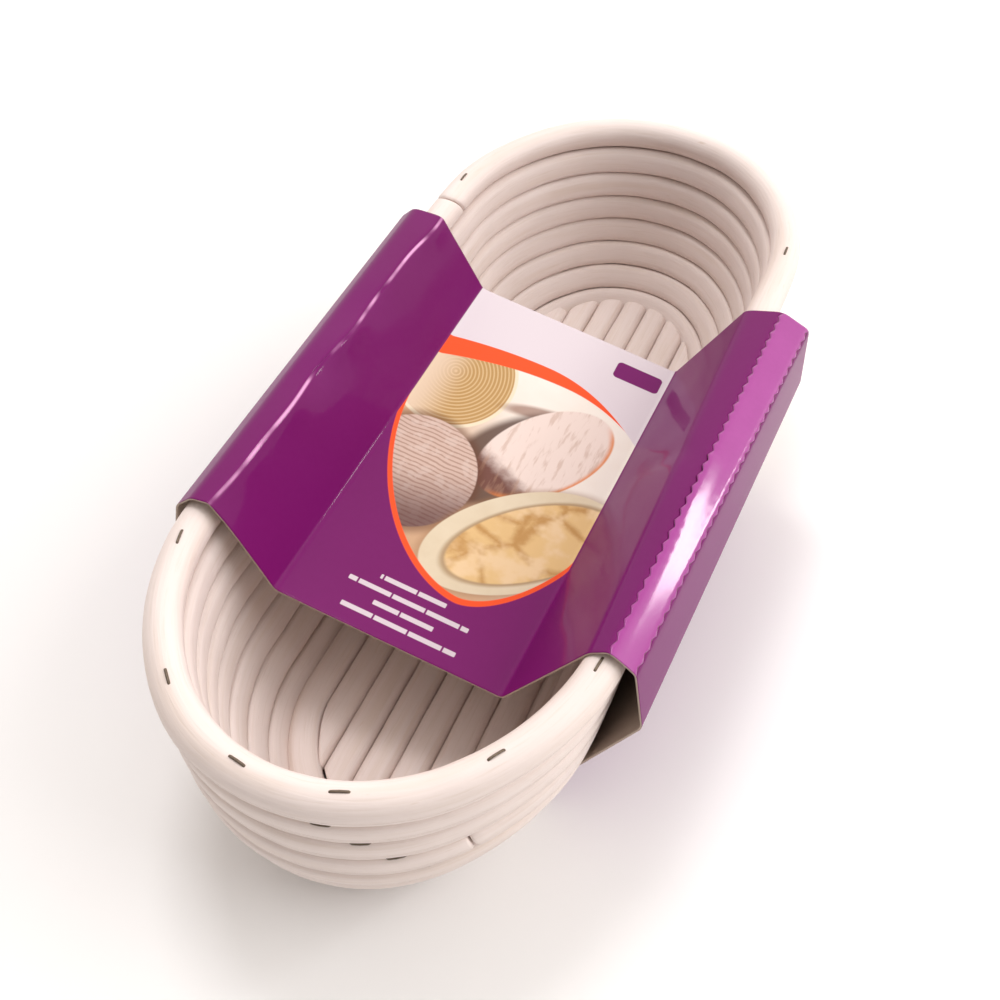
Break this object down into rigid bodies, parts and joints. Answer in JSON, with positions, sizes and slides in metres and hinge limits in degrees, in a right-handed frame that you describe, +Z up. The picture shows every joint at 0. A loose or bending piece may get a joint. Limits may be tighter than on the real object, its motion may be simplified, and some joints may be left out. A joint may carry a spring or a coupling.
{
  "type": "banneton basket",
  "caption": "Long oval proofing basket of bent rattan cane rings on a flat base of straight canes, held in a folded card sleeve with a tear strip.",
  "frame": {"origin": "middle of the underside, on the surface the basket stands on", "axes": "+X across the width, towards the tear strip; +Y along the length, away from the sleeve's nearer end; +Z up"},
  "size_m": [0.1556, 0.318, 0.0795],
  "materials": {
    "rattan": "matte",
    "staple_wire": "dull",
    "printed_card": "gloss varnished"
  },
  "bodies": {
    "basket": {"rim_cane": "rattan", "wall_course_1": "rattan", "wall_course_2": "rattan", "wall_course_3": "rattan", "wall_course_4": "rattan", "wall_course_5": "rattan", "wall_course_6": "rattan", "wall_course_7": "rattan", "base_cane_1": "rattan", "base_cane_2": "rattan", "base_cane_3": "rattan", "base_cane_4": "rattan", "base_cane_5": "rattan", "base_cane_6": "rattan", "base_cane_7": "rattan", "rim_staples": "staple_wire", "course_staples": "staple_wire", "base_staples": "staple_wire"},
    "sleeve": {"sleeve_wrap": "printed_card"},
    "tear_strip": {"tear_strip": "printed_card"},
    "front_flap": {"front_flap": "printed_card"}
  },
  "joints": [
    {"name": "sleeve_slide", "type": "slide", "parent": "basket", "child": "sleeve", "axis": [0, 1, 0], "range_m": [-0.002, 0.035]},
    {"name": "tear_strip_pull", "type": "slide", "parent": "sleeve", "child": "tear_strip", "axis": [0, 0, 1], "range_m": [0, 0.06]},
    {"name": "front_flap_open", "type": "hinge", "parent": "sleeve", "child": "front_flap", "pos_m": [-0.0547, 0, 0.0793], "axis": [0, -1, 0], "range_deg": [0, 110]}
  ]
}
